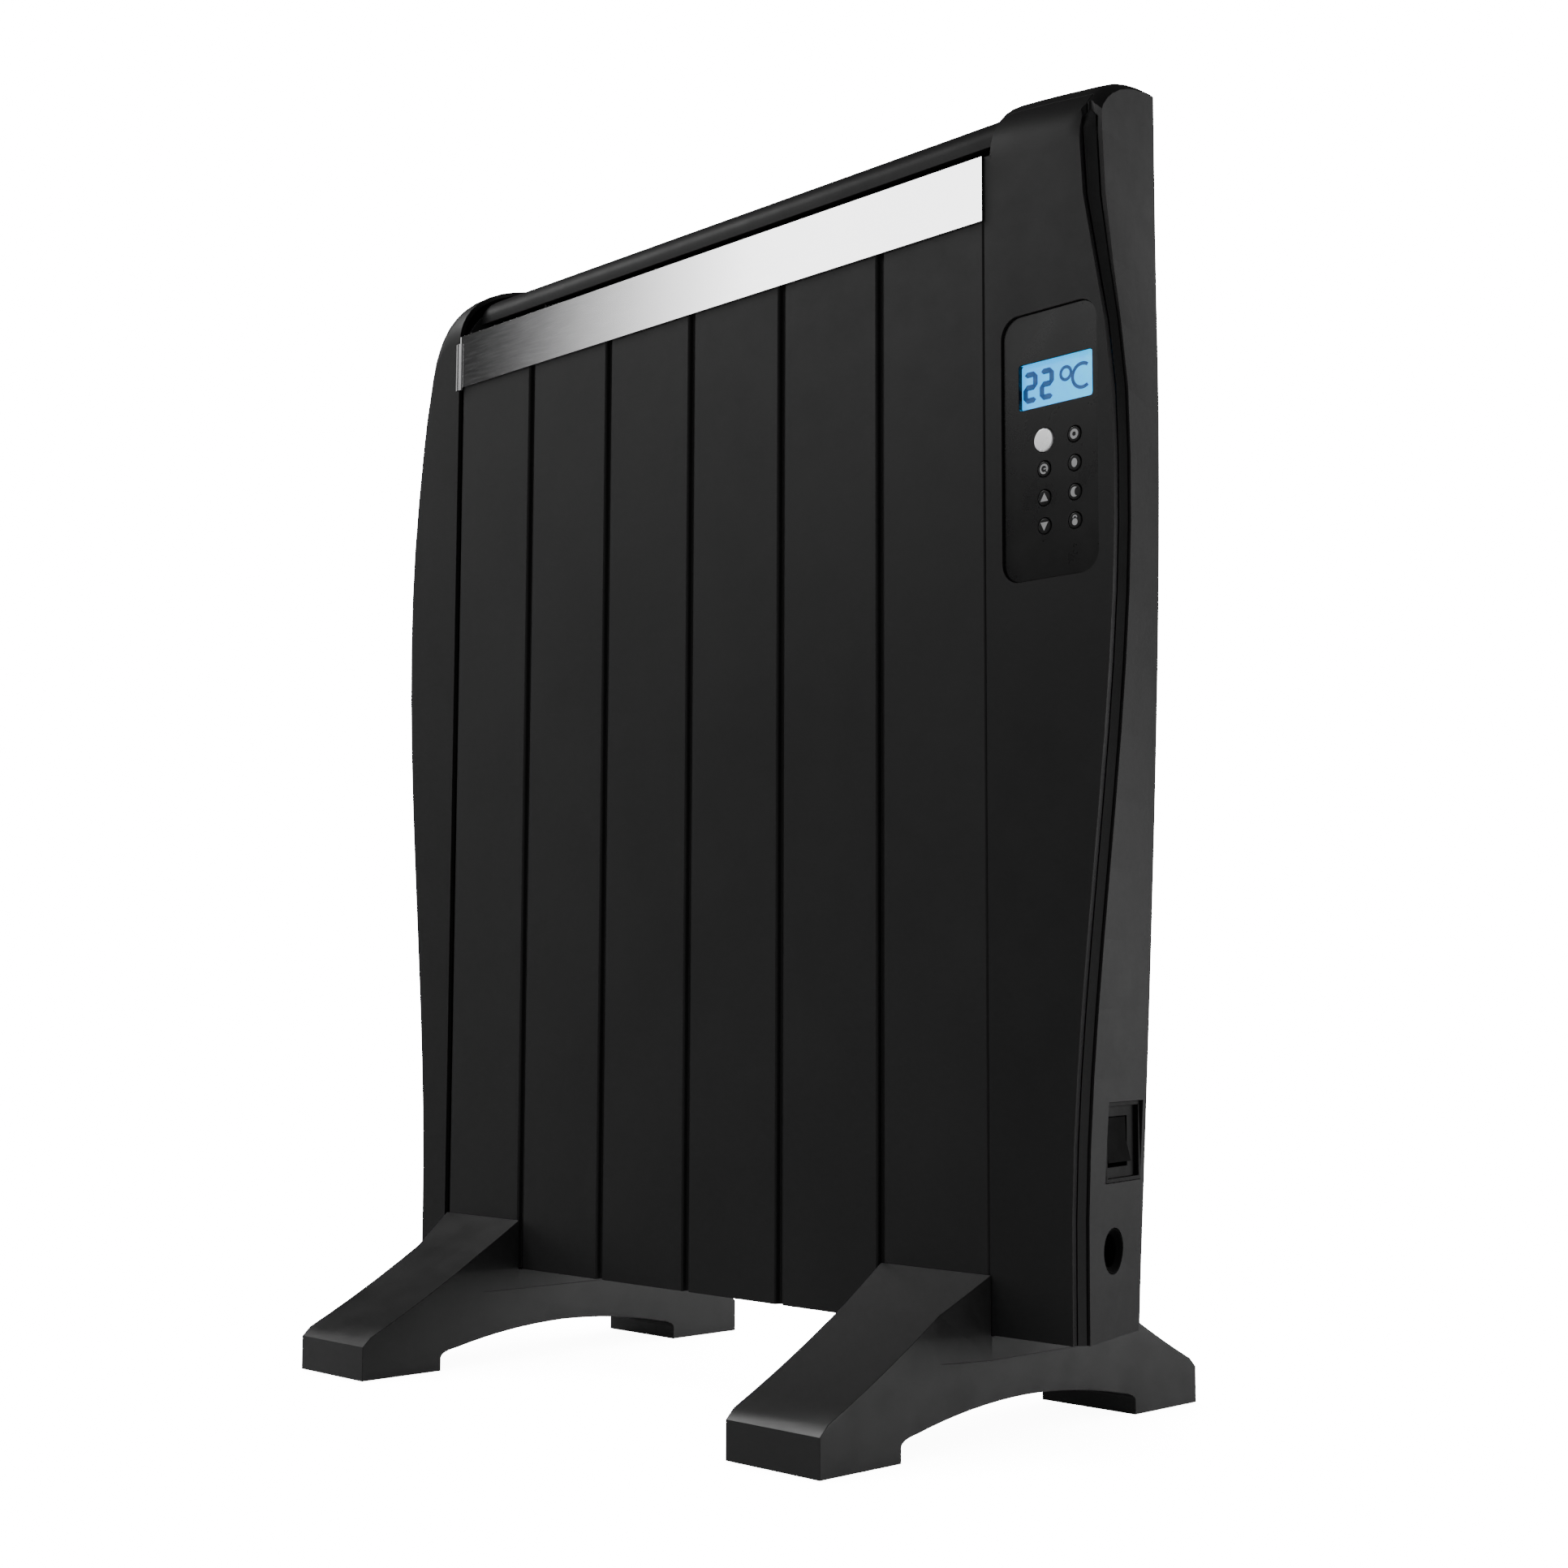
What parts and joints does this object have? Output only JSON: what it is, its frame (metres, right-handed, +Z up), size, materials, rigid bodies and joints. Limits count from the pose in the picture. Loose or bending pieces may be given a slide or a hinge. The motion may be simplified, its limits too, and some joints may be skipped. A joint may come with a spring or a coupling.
{
  "type": "electric panel radiator heater",
  "caption": "Free-standing slim electric panel heater of upright black sections between two curved end caps, with a bright top band, a key panel with a display, a side switch and arched feet.",
  "frame": {"origin": "on the floor, under the middle of the heater's whole width and depth", "axes": "+X along the panel towards the end with the controls, +Y from the front to the back, +Z up"},
  "size_m": [0.4946, 0.2462, 0.585],
  "materials": {
    "black_aluminium": "satin black powder coat on extruded and rolled aluminium",
    "rod_steel": "dull stainless rod sheath",
    "chrome_trim": "bright mirror chrome",
    "zinc_steel": "zinc plated sheet",
    "loom_sleeve": "glass-fibre sleeve over insulated wires",
    "black_plastic": "fine satin black plastic",
    "grey_plastic": "matte dark grey plastic",
    "screw_steel": "zinc plated",
    "gloss_black": "polished black",
    "silver_key": "silver lacquer",
    "display_pane": "clear pane over a lit blue display",
    "display_light": "blue backlight",
    "board_green": "solder mask",
    "relay_blue": "moulded case",
    "terminal_white": "moulded nylon"
  },
  "bodies": {
    "root": {"element_1": "black_aluminium", "element_2": "black_aluminium", "element_3": "black_aluminium", "element_4": "black_aluminium", "element_5": "black_aluminium", "element_6": "black_aluminium", "heating_rod_1": "rod_steel", "heating_rod_2": "rod_steel", "heating_rod_3": "rod_steel", "heating_rod_4": "rod_steel", "heating_rod_5": "rod_steel", "heating_rod_6": "rod_steel", "top_band": "chrome_trim", "outlet_rail": "black_aluminium", "front_top_tie_bar": "zinc_steel", "front_bottom_tie_bar": "zinc_steel", "rear_top_tie_bar": "zinc_steel", "rear_bottom_tie_bar": "zinc_steel", "wiring_loom": "loom_sleeve", "left_front_cover": "black_plastic", "left_side_cover": "black_plastic", "left_trim_strip": "black_plastic", "left_end_bracket": "zinc_steel", "left_foot": "grey_plastic", "left_foot_screw_front": "screw_steel", "left_foot_screw_rear": "screw_steel", "left_cover_screw_lower": "screw_steel", "left_cover_screw_upper": "screw_steel", "right_front_cover": "black_plastic", "right_side_cover": "black_plastic", "right_trim_strip": "black_plastic", "right_end_bracket": "zinc_steel", "right_foot": "grey_plastic", "right_foot_screw_front": "screw_steel", "right_foot_screw_rear": "screw_steel", "right_cover_screw_lower": "screw_steel", "right_cover_screw_upper": "screw_steel", "switch_housing": "black_plastic", "cable_gland": "black_plastic", "control_fascia": "gloss_black", "display_window": "display_pane", "display_module": "display_light", "control_board": "board_green", "power_board": "board_green", "relay": "relay_blue", "terminal_block": "terminal_white", "thermal_cutout": "screw_steel", "room_sensor": "black_plastic"},
    "power_button": {"power_button": "silver_key"},
    "timer_button": {"timer_button": "gloss_black"},
    "mode_button": {"mode_button": "gloss_black"},
    "window_button": {"window_button": "gloss_black"},
    "up_button": {"up_button": "gloss_black"},
    "down_button": {"down_button": "gloss_black"},
    "night_button": {"night_button": "gloss_black"},
    "lock_button": {"lock_button": "gloss_black"},
    "rocker": {"rocker": "gloss_black"}
  },
  "joints": [
    {"name": "power_button_press", "type": "slide", "parent": "root", "child": "power_button", "axis": [0, 1, 0], "range_m": [0, 0.0007], "stiffness_N_per_m": 400, "springref_m": -0.001},
    {"name": "timer_button_press", "type": "slide", "parent": "root", "child": "timer_button", "axis": [0, 1, 0], "range_m": [0, 0.0007], "stiffness_N_per_m": 400, "springref_m": -0.001},
    {"name": "mode_button_press", "type": "slide", "parent": "root", "child": "mode_button", "axis": [0, 1, 0], "range_m": [0, 0.0007], "stiffness_N_per_m": 400, "springref_m": -0.001},
    {"name": "window_button_press", "type": "slide", "parent": "root", "child": "window_button", "axis": [0, 1, 0], "range_m": [0, 0.0007], "stiffness_N_per_m": 400, "springref_m": -0.001},
    {"name": "up_button_press", "type": "slide", "parent": "root", "child": "up_button", "axis": [0, 1, 0], "range_m": [0, 0.0007], "stiffness_N_per_m": 400, "springref_m": -0.001},
    {"name": "down_button_press", "type": "slide", "parent": "root", "child": "down_button", "axis": [0, 1, 0], "range_m": [0, 0.0007], "stiffness_N_per_m": 400, "springref_m": -0.001},
    {"name": "night_button_press", "type": "slide", "parent": "root", "child": "night_button", "axis": [0, 1, 0], "range_m": [0, 0.0007], "stiffness_N_per_m": 400, "springref_m": -0.001},
    {"name": "lock_button_press", "type": "slide", "parent": "root", "child": "lock_button", "axis": [0, 1, 0], "range_m": [0, 0.0007], "stiffness_N_per_m": 400, "springref_m": -0.001},
    {"name": "rocker_tilt", "type": "hinge", "parent": "root", "child": "rocker", "pos_m": [0.21042, 0.00087, 0.1255], "axis": [-0.2005, 0.9797, 0], "range_deg": [0, 16]}
  ]
}
